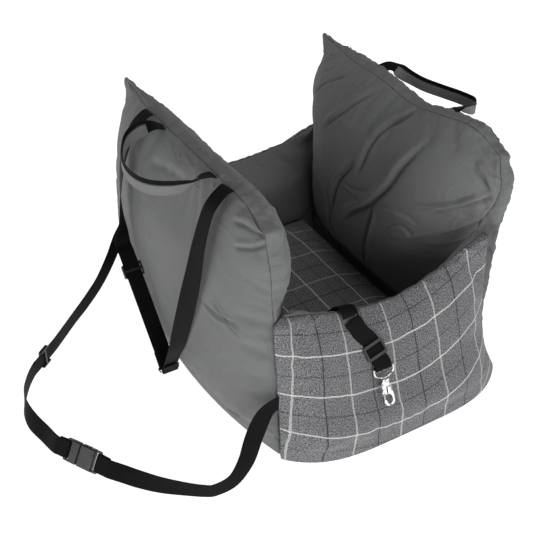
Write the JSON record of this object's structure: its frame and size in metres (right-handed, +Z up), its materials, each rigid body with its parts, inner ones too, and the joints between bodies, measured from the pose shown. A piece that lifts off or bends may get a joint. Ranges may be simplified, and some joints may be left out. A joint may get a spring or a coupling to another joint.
{
  "type": "padded dog car seat",
  "caption": "Open-top padded pet car seat with tall stuffed ends, low plaid walls, a loose cushion, carry handles, fastening belt, hanging support strap and a clip-on restraint leash.",
  "frame": {"origin": "on the floor, under the middle of the base panel", "axes": "+X from the end panel with the hanging straps to the other end panel, +Y from the plaid front wall to the rear wall, +Z up"},
  "size_m": [0.877, 0.7398, 0.456],
  "materials": {
    "canvas": "matte",
    "lining": "matte",
    "plaid": "matte",
    "fibre": "matte",
    "webbing": "matte",
    "handle_tape": "matte",
    "black_plastic": "satin",
    "grey_plastic": "satin",
    "chrome": "polished",
    "spring_steel": "satin"
  },
  "bodies": {
    "seat": {"base_panel": "canvas", "belt_strap_front": "webbing", "belt_strap_rear": "webbing", "buckle_plug": "black_plastic", "buckle_socket": "black_plastic", "front_wall_fill": "fibre", "front_wall_lining": "lining", "front_wall_plaid_cover": "plaid", "leash_anchor_strap": "webbing", "left_panel_cover": "canvas", "left_panel_fill": "fibre", "rear_wall_fill": "fibre", "rear_wall_lining": "lining", "rear_wall_plaid_cover": "plaid", "right_panel_cover": "canvas", "right_panel_fill": "fibre", "seat_cushion_cover": "plaid", "seat_cushion_fill": "fibre"},
    "left_handle": {"left_handle_webbing": "webbing", "left_handle_tape": "handle_tape"},
    "right_handle": {"right_handle_webbing": "webbing", "right_handle_tape": "handle_tape"},
    "support_strap": {"support_strap_back": "webbing", "support_strap_front": "webbing"},
    "support_adjuster": {"support_strap_adjuster": "black_plastic"},
    "support_ring": {"support_strap_ring": "chrome"},
    "belt_adjuster": {"belt_adjuster": "black_plastic"},
    "buckle_prong_upper": {"buckle_prong_upper": "black_plastic"},
    "buckle_prong_lower": {"buckle_prong_lower": "black_plastic"},
    "leash": {"leash_strap": "webbing"},
    "leash_adjuster": {"leash_adjuster": "grey_plastic"},
    "snap_eye": {"snap_eye": "chrome"},
    "snap_body": {"snap_body": "chrome", "snap_spring": "spring_steel"},
    "snap_bolt": {"snap_bolt": "chrome"}
  },
  "joints": [
    {"name": "left_handle_swing", "type": "hinge", "parent": "seat", "child": "left_handle", "pos_m": [-0.231, 0, 0.45], "axis": [0, 1, 0], "range_deg": [-40, 120]},
    {"name": "right_handle_swing", "type": "hinge", "parent": "seat", "child": "right_handle", "pos_m": [0.231, 0, 0.45], "axis": [0, -1, 0], "range_deg": [-8, 120]},
    {"name": "support_strap_swing", "type": "hinge", "parent": "seat", "child": "support_strap", "pos_m": [-0.231, 0, 0.45], "axis": [0, 1, 0], "range_deg": [0, 170]},
    {"name": "support_adjuster_slide", "type": "slide", "parent": "support_strap", "child": "support_adjuster", "axis": [0, -0.7021, -0.712], "range_m": [-0.02, 0.12]},
    {"name": "support_ring_turn", "type": "hinge", "parent": "support_strap", "child": "support_ring", "pos_m": [-0.304, -0.038, 0.027], "axis": [1, 0, 0], "range_deg": [-12, 12]},
    {"name": "belt_adjuster_slide", "type": "slide", "parent": "seat", "child": "belt_adjuster", "axis": [0.76, 0.65, 0], "range_m": [-0.012, 0.012]},
    {"name": "buckle_prong_upper_press", "type": "hinge", "parent": "seat", "child": "buckle_prong_upper", "pos_m": [-0.50983, -0.14531, 0.02797], "axis": [0.6854, 0.4064, -0.6042], "range_deg": [0, 12], "stiffness_Nm_per_rad": 0.6, "springref_deg": -3.44},
    {"name": "buckle_prong_lower_press", "type": "hinge", "parent": "seat", "child": "buckle_prong_lower", "pos_m": [-0.52127, -0.15209, 0.01043], "axis": [-0.6854, -0.4064, 0.6042], "range_deg": [0, 12], "stiffness_Nm_per_rad": 0.6, "springref_deg": -3.44},
    {"name": "leash_swing", "type": "hinge", "parent": "seat", "child": "leash", "pos_m": [-0.098, -0.292, 0.234], "axis": [-0.9929, 0, -0.1191], "range_deg": [0, 80]},
    {"name": "leash_adjuster_slide", "type": "slide", "parent": "leash", "child": "leash_adjuster", "axis": [0.2205, -0.5586, -0.7996], "range_m": [-0.002, 0.005]},
    {"name": "snap_eye_turn", "type": "hinge", "parent": "leash", "child": "snap_eye", "pos_m": [-0.0547, -0.3392, 0.1524], "axis": [-0.9978, 0.0555, -0.0375], "range_deg": [0, 80]},
    {"name": "snap_swivel", "type": "hinge", "parent": "snap_eye", "child": "snap_body", "pos_m": [-0.05439, -0.34736, 0.13197], "axis": [-0.0142, 0.3711, 0.9285], "continuous": true},
    {"name": "snap_bolt_pull", "type": "slide", "parent": "snap_body", "child": "snap_bolt", "axis": [-0.0142, 0.3711, 0.9285], "range_m": [0, 0.0098], "stiffness_N_per_m": 220, "springref_m": -0.004, "deforming": ["snap_spring"]}
  ]
}
